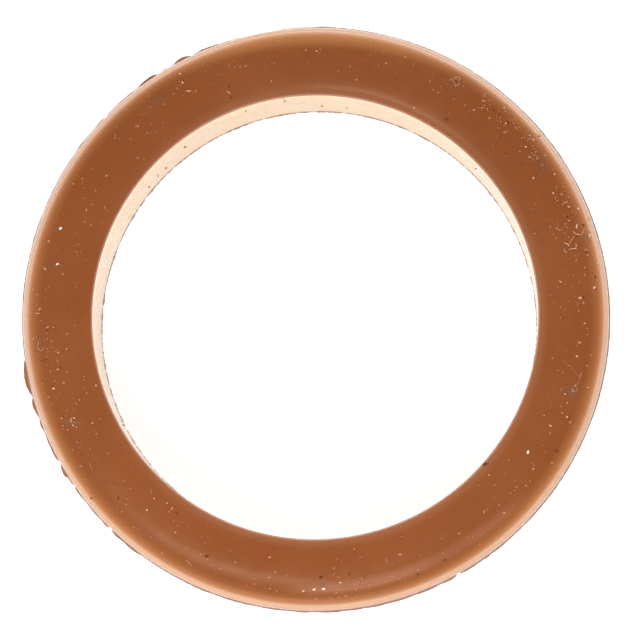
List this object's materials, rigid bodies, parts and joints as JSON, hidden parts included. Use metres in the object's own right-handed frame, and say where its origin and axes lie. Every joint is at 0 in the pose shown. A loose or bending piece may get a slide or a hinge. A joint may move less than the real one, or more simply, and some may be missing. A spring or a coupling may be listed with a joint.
{
  "type": "throttle body gasket",
  "caption": "Moulded rubber ring that seals a throttle body against its intake, with a crowned face, a rounded shoulder and a thin fin of mould flash.",
  "frame": {"origin": "centre of the bore, level with the flat seat face", "axes": "+Z along the bore, from the seat face to the crowned face; +X to the right of the picture and +Y to its top"},
  "size_m": [0.061, 0.061, 0.0112],
  "materials": {
    "moulded_rubber": "smooth orange-brown elastomer with a soft gloss, a little dust and ragged mould flash"
  },
  "bodies": {
    "root": {"gasket_ring": "moulded_rubber"}
  },
  "joints": []
}
